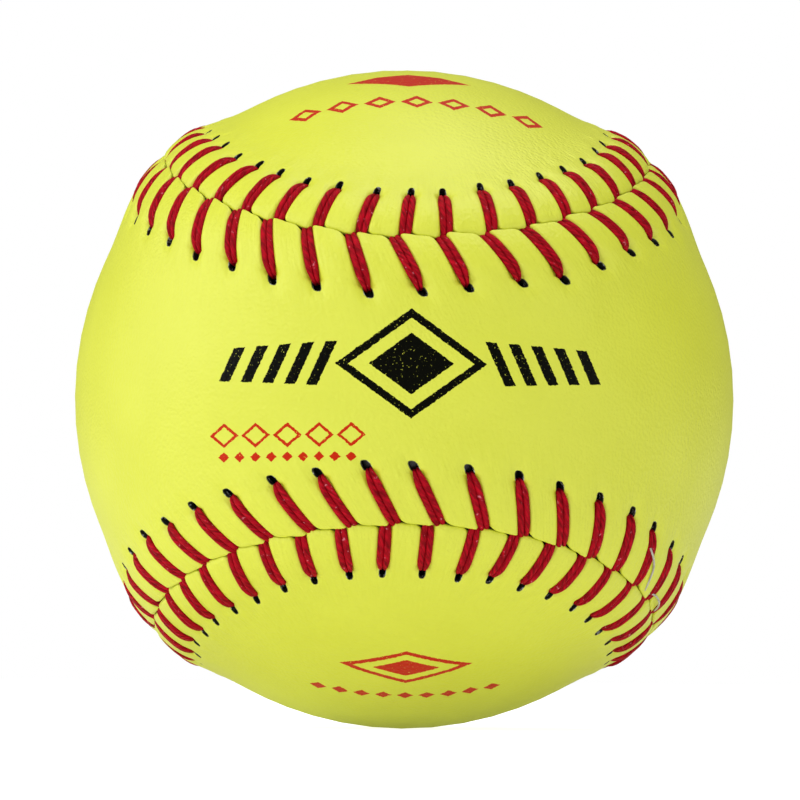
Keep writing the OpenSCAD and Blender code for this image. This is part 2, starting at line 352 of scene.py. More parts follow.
def pucker(w, s):
    """Shallow waves that run across the welt and fade towards plain leather."""
    waves = sum(np.sin(a * s + b * w + c) for a, b, c in puckers) / len(puckers)
    return PUCKER_H * waves * (1 - ease((w - PUCKER_FADE_FROM) / SMALL_FADE_OVER))


print("15 mm from the seam the welt is", [f"{welt_h(side, 15):.2f} mm" for side in (-1, 1)], "high")

# %% [markdown]
# The puffs stand about as high as the threads and hug them, so that a leg lies sunk between
# two of them. A puff climbs steeply beside a leg and more gently near its hole. The furrow
# follows the leg down to the level of the hole, and closes behind it.

# %% Furrows and puffs
HOLE_LEVEL = {-1: 0.66, 1: 0.72}
UNDER_STRAND = 0.03
LEVEL_OVER = 1.2
CLIMB_FROM, CLIMB_OVER = 0.76, 0.7
CLIMB_POWER, CLIMB_ROUND = 2.6, 0.8
GENTLE_FROM, GENTLE_OVER = 5.2, 2.5
GENTLE_NEARER, GENTLE_WIDER = 0.16, 1.5
CLOSE_FROM, CLOSE_OVER = 0.3, 3.2


def leather_h(side, w, off):
    """Heights of a row of points above the plain ball, and how far up its puff each one lies."""
    left, right = from_leg(off)
    along = (w - SEAM_W) / (LEG_REACH[side] - SEAM_W)
    under = leg_h(np.clip(along, 0, 1), leg_no) - STRAND_HIGH / 2 - UNDER_STRAND
    level = HOLE_LEVEL[side] * row_gain(leg_no)
    past_hole = w - HOLE_MID_W[side]
    furrow = under + (level - under) * ease((past_hole + LEVEL_OVER) / LEVEL_OVER)
    puff = welt_h(side, w) * welt_gain(side, w) + pucker(w, puff_no * PITCH + left)
    near = np.minimum(np.abs(left), np.abs(right))
    gentle = ease((w - GENTLE_FROM) / GENTLE_OVER)
    climb = np.clip((near - CLIMB_FROM + GENTLE_NEARER * gentle)
                    / (CLIMB_OVER + GENTLE_WIDER * gentle), 0, 1)
    swell = (1 - (1 - climb) ** CLIMB_POWER) ** CLIMB_ROUND
    furrow = furrow + (puff - furrow) * ease((past_hole - CLOSE_FROM) / CLOSE_OVER)
    return furrow + (puff - furrow) * swell, swell


# %% [markdown]
# ## Laying the grid on the ball
# The grid is a primitive, so its points come in rows of known length. One function gives each
# point its direction from the ball's centre, and another its distance. Behind the welt, the
# rows close in on the panel's middle line, where both halves of the last row meet.

# %% Directions for a row of the grid
SPINE_END_DEG = 95


def laid(side, w, off):
    """Directions of a row of points w from the seam, in the columns that follow the legs."""
    along = ((w - SEAM_W) / (LEG_REACH[side] - SEAM_W))[:, None]
    beside = between(leg_start(side, leg_no, off), leg_end(side, leg_no, off), along)
    after = between(leg_start(side, leg_no + 1, -LEG_BAND),
                    leg_end(side, leg_no + 1, -LEG_BAND), along)
    return between(beside, after, on_share[:, None])


def spine_points(side, ring):
    """For each column, the point of the panel's middle line that it runs to."""
    x, y = (ring[:, 0], -ring[:, 1]) if side < 0 else (ring[:, 2], ring[:, 1])
    turn = np.arctan2(x, y)
    tip_turn = np.abs(turn).max()
    tip = int(np.argmax(turn))
    angle = math.radians(SPINE_END_DEG) * np.sin(math.pi / 2 * turn / tip_turn)
    partner = (2 * tip - np.arange(WIDE)) % WIDE
    angle = (angle + angle[partner]) / 2
    if side < 0:
        return np.stack([np.sin(angle), -np.cos(angle), 0 * angle], axis=-1)
    return np.stack([0 * angle, np.cos(angle), np.sin(angle)], axis=-1)


# %% [markdown]
# A hole starts as a few cells of the grid that are taken out. Their rim is stepped, so its
# points are moved onto an oval first. The awl and the thread leave the oval longer than it is
# wide, with blunt ends.

# %% The oval of a hole
HOLE_HALF_W = 0.88
HOLE_HALF_X = 0.54
HOLE_BLUNT = 2.6
NOT_ZERO = 1e-6


def hole_grid():
    """Places of the grid's points round a hole, the rim on its oval, and the cells to remove."""
    out = np.repeat(np.array(FROM_HOLE)[:, None], WIDE, axis=1)
    off = np.repeat(off_leg[None, :], len(FROM_HOLE), axis=0)
    in_leg_band = on_share == 0

    def oval(x, y):
        return np.abs(x / HOLE_HALF_X) ** HOLE_BLUNT + np.abs(y / HOLE_HALF_W) ** HOLE_BLUNT

    next_off = np.roll(off, -1, axis=1)
    mid_x, mid_out = (off + next_off)[:-1] / 2, (out[:-1] + out[1:]) / 2
    joined = in_leg_band & np.roll(in_leg_band, -1) & (np.abs(next_off[0] - off[0]) < LEG_BAND)
    cut = (oval(mid_x, mid_out) < 1) & joined[None, :]
    touched = np.zeros(out.shape, bool)
    kept = np.zeros(out.shape, bool)
    for down in (0, 1):
        for over in (0, 1):
            shifted = np.roll(cut, over, axis=1)
            touched[down:down + cut.shape[0]] |= shifted
            kept[down:down + cut.shape[0]] |= ~shifted
    rim = touched & kept
    scale = np.where(rim, np.maximum(oval(off, out), NOT_ZERO) ** (-1 / HOLE_BLUNT), 1)
    return out * scale, off * scale, cut, rim


hole_out, hole_off, hole_cut, hole_rim = hole_grid()
print(f"{hole_cut.sum() // STITCHES} cells and {hole_rim.sum() // STITCHES} rim points a hole")

# %% [markdown]
# ## From a flat grid to a closed skin
# The rows of one grid run from the panel's middle line out to its edge, round the edge, and
# back to the middle line on the inner side. Panel B's edge is rolled in more than panel A's.
# The welt is hollow: its underside stands 1 mm above the cement. The grid's first and last
# columns meet, and so do its ends on the middle line, so merging the points that coincide
# closes the skin.

# %% Rows of a panel
LIP_ROUND = {-1: 0.3, 1: 0.8}
LIP_DROP = {-1: 0.2, 1: 0.45}
LEAST_DROP = 0.3
LIP_FADE_W = 3
# The top row of each lip takes a fifth of the dark edge colour: painted shade along the seam line,
# over the edge's own grey.
LIP_SHADE_SHARE = 0.2
EDGE_SHARE = 0.6
TUNNEL_R = CEMENT_R + 1.0
GLUED_R = CEMENT_R + 0.12


def panel_rows(side):
    """Directions, radii, marks and distances from the seam for all rows, outside first."""
    flat = np.ones(WIDE)
    lip = lips[side]
    rows = {"line": [], "radius": [], "cut_edge": [], "hole_rim": [], "out": []}

    def row(line, radius, out, edge=0.0, rim=0.0):
        for key, value in zip(rows, (line, radius * flat, edge * flat, rim * flat, out * flat)):
            rows[key].append(value)

    def welt(w_row, off_row, drop=0.0, edge=0.0, rim=0.0):
        h, swell = leather_h(side, w_row, off_row)
        rolled_in = drop * LIP_DROP[side] * (LEAST_DROP + (1 - LEAST_DROP) * swell)
        row(laid(side, w_row, off_row), BALL_R + h - rolled_in, w_row, edge, rim)

    ring = laid(side, WELT_REACH * flat, off_leg)
    middle = spine_points(side, ring)
    to_middle = BALL_R * np.arccos((ring * middle).sum(-1))
    for share in reversed(SPINE_SHARES):
        out = WELT_REACH + share * to_middle
        h = welt_h(side, out) * welt_gain(side, out)
        row(between(ring, middle, share), BALL_R + h, out)
    for w in reversed(FLANK_ROWS):
        welt(w * flat, off_leg)
    outer_holes = len(rows["radius"])
    for k in reversed(range(len(FROM_HOLE))):
        welt(HOLE_MID_W[side] + hole_out[k], hole_off[k], rim=hole_rim[k])
    for back in reversed(LIP_ROWS):
        near = 1 - min(back, LIP_ROUND[side]) / LIP_ROUND[side]
        w_row = back + lip * max(0.0, 1 - back / LIP_FADE_W)
        welt(w_row, off_leg, drop=1 - math.sqrt(1 - near ** 2), edge=LIP_SHADE_SHARE * (back == 0))
    top, lip_line = rows["radius"][-1], rows["line"][-1]
    row(lip_line, EDGE_SHARE * top + (1 - EDGE_SHARE) * TUNNEL_R, lip, edge=1)
    row(lip_line, TUNNEL_R, lip, edge=1)
    inner_holes = len(rows["radius"])
    for k in range(len(FROM_HOLE)):
        w_row = HOLE_MID_W[side] + hole_out[k]
        row(laid(side, w_row, hole_off[k]), TUNNEL_R, w_row, edge=1, rim=1)
    row(ring, GLUED_R, WELT_REACH, edge=1)
    for share in INNER_SHARES:
        row(between(ring, middle, share), GLUED_R, WELT_REACH, edge=1)
    return {key: np.array(value) for key, value in rows.items()}, outer_holes, inner_holes


# %% [markdown]
# Blender's grid primitive makes the blank. Its points are then moved to their places, the
# cells of the holes are deleted, the doubles are merged, and each hole's wall is added from
# the outer rim to the inner one.

# %% Making a panel
CREASE_DEG = 48
MERGE_DIST = 1e-6


def deselect_all():
    for other in bpy.context.selected_objects:
        other.select_set(False)


def face_outwards():
    """Turns the faces of the active object outwards."""
    bpy.ops.object.mode_set(mode="EDIT")
    bpy.ops.mesh.select_all(action="SELECT")
    bpy.ops.mesh.normals_make_consistent(inside=False)
    bpy.ops.object.mode_set(mode="OBJECT")


def wall_quads(outer_holes, inner_holes):
    """Corner numbers of the walls between the outer and the inner rim of every hole."""
    count = len(FROM_HOLE)
    quads = []
    rows, columns = np.nonzero(hole_cut)
    for k, j in zip(rows.tolist(), columns.tolist()):
        corners = [(k, j), (k, j + 1), (k + 1, j + 1), (k + 1, j)]
        beyond = [(k - 1, j), (k, j + 1), (k + 1, j), (k, j - 1)]
        for side_no, (a, b) in enumerate(beyond):
            if 0 <= a < count - 1 and hole_cut[a, b % WIDE]:
                continue
            p, q = corners[side_no], corners[(side_no + 1) % 4]
            quads.append([(outer_holes + count - 1 - p[0], p[1] % WIDE),
                          (outer_holes + count - 1 - q[0], q[1] % WIDE),
                          (inner_holes + q[0], q[1] % WIDE),
                          (inner_holes + p[0], p[1] % WIDE)])
    return quads


def mark_points(mesh, name, kind, values):
    layer = mesh.attributes.new(name, kind, "POINT")
    layer.data.foreach_set("value" if kind == "FLOAT" else "vector", values.ravel())


def make_panel(name, side):
    rows, outer_holes, inner_holes = panel_rows(side)
    tall = len(rows["radius"])
    deselect_all()
    bpy.ops.mesh.primitive_grid_add(x_subdivisions=WIDE, y_subdivisions=tall - 1, size=2)
    leather = bpy.context.object
    leather.name = name
    mesh = leather.data
    around = np.append(np.arange(WIDE), 0)
    points = (rows["line"] * rows["radius"][..., None] * MM)[:, around].reshape(-1, 3)
    mesh.vertices.foreach_set("co", points.ravel())
    for mark in ("cut_edge", "hole_rim"):
        mark_points(mesh, mark, "FLOAT", rows[mark][:, around])
    out = rows["out"][:, around]
    column_s = leg_no * PITCH + off_leg + on_share * PUFF_BAND
    turn = np.broadcast_to((column_s * 2 * math.pi / SEAM_L)[around], out.shape)
    ring_r = SEAM_L / (2 * math.pi)
    mark_points(mesh, "along_seam", "FLOAT_VECTOR",
                np.stack([ring_r * np.cos(turn), ring_r * np.sin(turn), out], axis=-1))
    doomed = np.zeros((tall - 1, WIDE), bool)
    count = len(FROM_HOLE)
    doomed[outer_holes:outer_holes + count - 1] = hole_cut[::-1]
    doomed[inner_holes:inner_holes + count - 1] = hole_cut
    body = bmesh.new()
    body.from_mesh(mesh)
    body.verts.ensure_lookup_table()
    body.faces.ensure_lookup_table()
    for corners in wall_quads(outer_holes, inner_holes):
        body.faces.new([body.verts[r * (WIDE + 1) + c] for r, c in corners])
    body.faces.ensure_lookup_table()
    gone = [body.faces[k] for k in np.nonzero(doomed.ravel())[0].tolist()]
    bmesh.ops.delete(body, geom=gone, context="FACES")
    bmesh.ops.remove_doubles(body, verts=body.verts, dist=MERGE_DIST)
    body.to_mesh(mesh)
    body.free()
    leather.location = (0, 0, 0)
    face_outwards()
    bpy.ops.object.shade_smooth_by_angle(angle=math.radians(CREASE_DEG))
    print(f"{name}: {len(mesh.polygons)} faces")
    return leather


panel_a = make_panel("cover_panel_a_leather", -1)
panel_b = make_panel("cover_panel_b_leather", 1)
for leather, node in ((panel_a, "cover_panel_a"), (panel_b, "cover_panel_b")):
    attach(leather, "root")
    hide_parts(node)

# %% [markdown]
# ## The lacing
# Each thread is doubled and never ends until it has gone once round the ball. From the seam
# it climbs over the welt, drops into its hole, turns back under the leather and comes up in
# the seam at the next stitch, on the other panel. The two strands lie side by side all the
# way. A tube is swept along that path, with its length in millimetres kept in the UV map.

# %% The path of a pair of strands
PAIR_MID = 0.46
RUN_CLEAR = 0.06
RUN_R = CEMENT_R + RUN_CLEAR + STRAND_HIGH / 2
RUN_WIDE = 0.9
LEG_SHARES = (0, 0.06, 0.14, 0.24, 0.35, 0.46, 0.57, 0.68, 0.78, 0.87, 0.94, 0.98, 1)
RUN_SHARES = (0.12, 0.32, 0.55, 0.78, 0.95)
SEAM_NARROW, HOLE_NARROW = 0.2, 0.38
PINCH_SEAM, PINCH_HOLE, PINCH_POWER = 0.2, 0.22, 1.5
BEFORE_SEAM = -0.03
IN_HOLE = ((1.01, 0.4), (1.01, 0.65))
IN_SEAM_DEPTH = 0.3
SIDES = 10


def wide_share(share):
    """How wide the pair is along a leg: it is pinched at the seam and at its hole."""
    return (1 - SEAM_NARROW * max(0.0, 1 - share / PINCH_SEAM) ** PINCH_POWER
            - HOLE_NARROW * max(0.0, 1 - (1 - share) / PINCH_HOLE) ** PINCH_POWER)


def lacing_path(first_side):
    """Middles of the pair, unit vectors across it and its width shares, once round the ball."""
    middles, across, wide = [], [], []

    def step(direction, radius, square, share):
        middles.append(radius * direction)
        across.append(square)
        wide.append(share)

    turned = 1
    for i in range(STITCHES):
        side = first_side if i % 2 == 0 else -first_side
        start, end = leg_start(side, i), leg_end(side, i)
        after = leg_start(-side, i + 1)
        square = turned * unit(np.cross(start, end))
        step(between(start, end, BEFORE_SEAM), BALL_R + START_H / 2, square, 1 - SEAM_NARROW)
        for share in LEG_SHARES:
            height = float(leg_h(share, i))
            step(between(start, end, share), BALL_R + height, square, wide_share(share))
        for share, depth in IN_HOLE:
            step(between(start, end, share), BALL_R - depth, square, 1 - HOLE_NARROW)
        square = -turned * unit(np.cross(end, after))
        for share in RUN_SHARES:
            step(between(end, after, share), RUN_R, square, RUN_WIDE)
        step(after, BALL_R - IN_SEAM_DEPTH, square, 1 - SEAM_NARROW)
        turned = -turned
    return np.array(middles), np.array(across), np.array(wide)


# %% Sweeping the strands
def strand_mesh(middles, across, half_wide, half_high, closed=True):
    """Oval rings of points round a line, and how far along it each ring lies."""
    if closed:
        along = unit(np.roll(middles, -1, axis=0) - np.roll(middles, 1, axis=0))
    else:
        along = unit(np.gradient(middles, axis=0))
    side_way = unit(across - (across * along).sum(-1, keepdims=True) * along)
    up_way = np.cross(along, side_way)
    turn = 2 * math.pi * np.arange(SIDES) / SIDES
    half_wide, half_high = (np.broadcast_to(half, (len(middles),))[:, None, None]
                            for half in (half_wide, half_high))
    rings = (middles[:, None] + half_wide * np.cos(turn)[None, :, None] * side_way[:, None]
             + half_high * np.sin(turn)[None, :, None] * up_way[:, None])
    steps = np.linalg.norm(np.diff(middles, axis=0), axis=1)
    return rings, np.concatenate([[0], np.cumsum(steps)])


def tube_object(name, strands, closed=True):
    """One mesh from several swept strands. UV: millimetres along, and one turn across."""
    points, faces, uvs = [], [], []
    base = 0
    for rings, far in strands:
        count = len(rings)
        points.append(rings.reshape(-1, 3))
        last = count if closed else count - 1
        mean_step = far[-1] / (count - 1)
        for k in range(last):
            k2 = (k + 1) % count
            v0, v1 = far[k], far[k2] if k2 else far[-1] + mean_step
            for m in range(SIDES):
                m2 = (m + 1) % SIDES
                faces.append((base + k * SIDES + m, base + k * SIDES + m2,
                              base + k2 * SIDES + m2, base + k2 * SIDES + m))
                uvs += [(m / SIDES, v0), ((m + 1) / SIDES, v0),
                        ((m + 1) / SIDES, v1), (m / SIDES, v1)]
        if not closed:
            for k, order in ((0, -1), (count - 1, 1)):
                faces.append(tuple(base + k * SIDES + m for m in range(SIDES))[::order])
                uvs += [(m / SIDES, far[k]) for m in range(SIDES)]
        base += count * SIDES
    mesh = bpy.data.meshes.new(name)
    mesh.from_pydata((np.concatenate(points) * MM).tolist(), [], faces)
    layer = mesh.uv_layers.new(name="along")
    layer.data.foreach_set("uv", np.array(uvs).ravel())
    made = bpy.data.objects.new(name, mesh)
    bpy.context.collection.objects.link(made)
    deselect_all()
    made.select_set(True)
    bpy.context.view_layer.objects.active = made
    face_outwards()
    bpy.ops.object.shade_smooth()
    print(f"{name}: {len(mesh.polygons)} faces")
    return made


def make_lacing(name, first_side):
    middles, across, wide = lacing_path(first_side)
    strands = []
    for way in (-1, 1):
        shifted = middles + way * PAIR_MID * wide[:, None] * across
        strands.append(strand_mesh(shifted, across, STRAND_WIDE / 2 * wide, STRAND_HIGH / 2))
    return tube_object(name, strands)


thread_one = make_lacing("lacing_thread_one_strands", -1)
thread_two = make_lacing("lacing_thread_two_strands", 1)
for thread, node in ((thread_one, "lacing_thread_one"), (thread_two, "lacing_thread_two")):
    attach(thread, "root")
    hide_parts(node)

# %% [markdown]
# A short end of fine undyed thread, left over from tacking the panels, lies loose over the
# welt in the lower row. It comes out of the seam, crosses a leg and dips back into the seam.
# Its knots are given as places along the seam, from the seam, and above plain leather.

# %% A loose end of tacking thread
TACK_WIDE = 0.29
TACK_RINGS = 40
TACK_SMOOTHINGS = 6
TACK_KNOTS = (((228.4, 5.3, 1.62), (227.2, 4.7, 1.86), (225.6, 3.9, 1.86), (224.6, 3.0, 1.78),
               (224.1, 2.1, 1.78), (223.2, 1.1, 1.66), (222.3, 0.4, 1.4), (221.9, 0.1, 0.8)),
              ((220.6, 0.5, 0.9), (219.9, 1.1, 1.62), (218.8, 1.3, 1.8), (217.6, 1.3, 1.9),
               (216.3, 1.2, 1.9), (215.2, 0.8, 1.8), (214.2, 0.4, 1.5), (212.8, 0.1, 0.8)))


def tack_strand(knots):
    share = np.linspace(0, len(knots) - 1, TACK_RINGS)
    line = np.stack([np.interp(share, range(len(knots)), part) for part in zip(*knots)], axis=-1)
    for _ in range(TACK_SMOOTHINGS):
        line[1:-1] = (line[:-2] + 2 * line[1:-1] + line[2:]) / 4
    middles = (BALL_R + line[:, 2:]) * place(-1, line[:, 0], line[:, 1])
    across = unit(np.cross(middles, np.gradient(middles, axis=0)))
    return strand_mesh(middles, across, TACK_WIDE / 2, TACK_WIDE / 2, closed=False)


tack_end = tube_object("loose_tacking_thread", [tack_strand(k) for k in TACK_KNOTS], closed=False)
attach(tack_end, "root")

# %% [markdown]
# ## Materials
# A material is a small net of nodes. One function turns the colours, written as sRGB hex
# values, into the linear ones that the renderer needs. Another adds a node, gives it its
# settings and links its inputs.

# %% Two helpers for materials
def linear(hex_code):
    """Linear RGBA of an sRGB hex colour."""
    parts = [int(hex_code[k:k + 2], 16) / 255 for k in (1, 3, 5)]
    return tuple(p / 12.92 if p <= 0.04045 else ((p + 0.055) / 1.055) ** 2.4
                 for p in parts) + (1.0,)


def add(tree, kind, inputs=None, **settings):
    """Adds a node. An input is set to a value, or linked if it is given another's output."""
    node = tree.nodes.new(kind)
    for key, value in settings.items():
        setattr(node, key, value)
    for key, value in (inputs or {}).items():
        if isinstance(value, bpy.types.NodeSocket):
            tree.links.new(value, node.inputs[key])
        else:
            node.inputs[key].default_value = value
    return node


def new_material(name):
    material = bpy.data.materials.new(name)
    material.use_nodes = True
    tree = material.node_tree
    tree.nodes.clear()
    return material, tree


def in_mm(tree):
    """Object coordinates in millimetres."""
    spot = add(tree, "ShaderNodeTexCoord")
    scaled = add(tree, "ShaderNodeVectorMath", {0: spot.outputs["Object"], 1: (1 / MM,) * 3},
                 operation="MULTIPLY")
    return scaled.outputs[0]


# %% [markdown]
# The cover is decorated in two inks, black and red, with lozenges and slanting bars. Each
# motif is a small sum on the place in millimetres, so it needs no picture. The inks are
# screen-printed: their edges waver a little, and the grain shows through as fine gaps. The
# inks are matt, so they dull the leather's sheen as well. A lobe's motifs are drawn on a
# plane that is first turned to face it.

# %% Printed motifs
INK_WANDER_MM = 0.16
WANDERS_PER_MM = 2.4
GAPS_PER_MM = 3.5
ONE_ALONE = 500


def lozenges(tree, spot, centre, half, pitch=ONE_ALONE, count=1):
    """For a row of lozenges: 0 in the middle of one and 1 on its edge."""
    moved = add(tree, "ShaderNodeVectorMath", {0: spot, 1: (centre[0], 0, centre[1])},
                operation="SUBTRACT")
    parts = add(tree, "ShaderNodeSeparateXYZ", {0: moved.outputs[0]})
    folded = add(tree, "ShaderNodeMath", {0: parts.outputs[0], 1: pitch / 2},
                 operation="PINGPONG")
    across = add(tree, "ShaderNodeMath", {0: folded.outputs[0], 1: half[0]}, operation="DIVIDE")
    up = add(tree, "ShaderNodeMath", {0: parts.outputs[2]}, operation="ABSOLUTE")
    both = add(tree, "ShaderNodeMath", {0: up.outputs[0], 1: 1 / half[1], 2: across.outputs[0]},
               operation="MULTIPLY_ADD")
    out = add(tree, "ShaderNodeMath", {0: parts.outputs[0]}, operation="ABSOLUTE")
    beyond = add(tree, "ShaderNodeMath", {0: out.outputs[0], 1: count * pitch / 2},
                 operation="GREATER_THAN")
    return add(tree, "ShaderNodeMath", {0: both.outputs[0], 1: beyond.outputs[0]}).outputs[0]


def bars(tree, spot, rise, row, pitch, slant, tall, taper):
    """1 on slanting bars, mirrored left and right, that get shorter away from the middle."""
    moved = add(tree, "ShaderNodeVectorMath", {0: spot, 1: (0, 0, rise)}, operation="SUBTRACT")
    parts = add(tree, "ShaderNodeSeparateXYZ", {0: moved.outputs[0]})
    out = add(tree, "ShaderNodeMath", {0: parts.outputs[0]}, operation="ABSOLUTE")
    up = add(tree, "ShaderNodeMath", {0: parts.outputs[2]}, operation="ABSOLUTE")
    along = add(tree, "ShaderNodeMath", {0: parts.outputs[2], 1: slant, 2: out.outputs[0]},
                operation="MULTIPLY_ADD")
    fold = add(tree, "ShaderNodeMath", {0: along.outputs[0], 1: pitch / 2}, operation="PINGPONG")
    in_bar = add(tree, "ShaderNodeMath", {0: fold.outputs[0], 1: pitch / 4},
                 operation="LESS_THAN")
    in_row = add(tree, "ShaderNodeMath", {0: along.outputs[0], 1: (row[0] + row[1]) / 2,
                                          2: (row[1] - row[0]) / 2}, operation="COMPARE")
    reach = add(tree, "ShaderNodeMath", {0: out.outputs[0], 1: -taper, 2: tall},
                operation="MULTIPLY_ADD")
    in_height = add(tree, "ShaderNodeMath", {0: up.outputs[0], 1: reach.outputs[0]},
                    operation="LESS_THAN")
    both = add(tree, "ShaderNodeMath", {0: in_bar.outputs[0], 1: in_row.outputs[0]},
               operation="MULTIPLY")
    return add(tree, "ShaderNodeMath", {0: both.outputs[0], 1: in_height.outputs[0]},
               operation="MULTIPLY").outputs[0]


def filled(tree, size, reach=1.0):
    return add(tree, "ShaderNodeMath", {0: size, 1: reach}, operation="LESS_THAN").outputs[0]


def outlined(tree, size, share):
    return add(tree, "ShaderNodeMath", {0: size, 1: 1 - share / 2, 2: share / 2},
               operation="COMPARE").outputs[0]


def any_of(tree, masks):
    total = masks[0]
    for mask in masks[1:]:
        total = add(tree, "ShaderNodeMath", {0: total, 1: mask}, operation="MAXIMUM").outputs[0]
    return total


def facing(tree, mask, spot):
    """Keeps a mask to the half of the ball in front of its drawing plane."""
    parts = add(tree, "ShaderNodeSeparateXYZ", {0: spot})
    front = add(tree, "ShaderNodeMath", {0: parts.outputs[1], 1: 0.0}, operation="LESS_THAN")
    return add(tree, "ShaderNodeMath", {0: mask, 1: front.outputs[0]},
               operation="MULTIPLY").outputs[0]


def turned(tree, spot, degrees):
    return add(tree, "ShaderNodeMapping", {"Vector": spot,
                                           "Rotation": (math.radians(degrees), 0, 0)}).outputs[0]


def print_masks(tree, mm):
    """Where the black ink is, and where the red ink is."""
    noise = add(tree, "ShaderNodeTexNoise", {"Vector": mm, "Scale": WANDERS_PER_MM,
                                             "Detail": 2.0})
    waver = add(tree, "ShaderNodeVectorMath", {0: noise.outputs[1], 1: (0.5, 0.5, 0.5)},
                operation="SUBTRACT")
    shift = add(tree, "ShaderNodeVectorMath", {0: waver.outputs[0], "Scale": 2 * INK_WANDER_MM},
                operation="SCALE")
    spot = add(tree, "ShaderNodeVectorMath", {0: mm, 1: shift.outputs[0]}).outputs[0]
    jewel = lozenges(tree, spot, centre=(0, 2.2), half=(10.5, 7.6))
    side_bars = bars(tree, spot, rise=2.2, row=(10.85, 26.35), pitch=3.1, slant=0.45, tall=3.7,
                     taper=0.055)
    small = lozenges(tree, spot, centre=(-17, -7.6), half=(2.0, 1.7), pitch=4.4, count=5)
    dots = lozenges(tree, spot, centre=(-17, -10.6), half=(0.75, 0.7), pitch=2.2, count=9)
    top = turned(tree, spot, 60)
    row = lozenges(tree, top, centre=(1, -1.5), half=(2.3, 2.0), pitch=5.3, count=7)
    crown = lozenges(tree, top, centre=(0, 8.0), half=(9.0, 3.6))
    low = turned(tree, spot, -58)
    ring = lozenges(tree, low, centre=(0, 2.6), half=(9.5, 3.9))
    beads = lozenges(tree, low, centre=(0, -5.0), half=(1.2, 1.0), pitch=3.1, count=9)
    black = any_of(tree, [outlined(tree, jewel, 0.17), filled(tree, jewel, 0.56), side_bars])
    red = any_of(tree, [outlined(tree, small, 0.3), filled(tree, dots)])
    red_top = any_of(tree, [outlined(tree, row, 0.5), filled(tree, crown)])
    red_low = any_of(tree, [outlined(tree, ring, 0.2), filled(tree, ring, 0.5),
                            filled(tree, beads)])
    all_red = any_of(tree, [facing(tree, mask, plane)
                            for mask, plane in ((red, spot), (red_top, top), (red_low, low))])
    gaps = add(tree, "ShaderNodeTexNoise", {"Vector": mm, "Scale": GAPS_PER_MM, "Detail": 3.0})
    inked = add(tree, "ShaderNodeMapRange", {"Value": gaps.outputs[0], "From Min": 0.24,
                                             "From Max": 0.34})
    return [add(tree, "ShaderNodeMath", {0: mask, 1: inked.outputs[0]},
                operation="MULTIPLY").outputs[0]
            for mask in (facing(tree, black, spot), all_red)]


# %% [markdown]
# The cover is chrome-tanned leather, dyed an optic yellow that leans to green. It has a fine
# pebble grain and a soft satin finish. Real pebbles are some 0.3 mm wide; here they are 0.6 mm,
# because finer ones wouldn't show. Where the lacing has pulled it up, the leather is combed
# with fine streaks that run away from the seam. The cut edges and the walls of the awl holes
# are near-black, which is painted shade of the deep holes and the seam gap over the tanning's
# grey. Their pale specks are painted glints, among a few pale fibres.

# %% Optic yellow leather
STREAK_MM = 0.4
STREAK_LONG_MM = 3.0
PEBBLES_PER_MM = 1.7
GRAIN_PER_MM = 2.6
GLINTS_AND_FIBRES_PER_MM = 1.9
PATCHES_PER_MM = 0.09
STREAKS_FADE_MM = (8.0, 17.0)
STREAKS_IN_RELIEF = 1.6


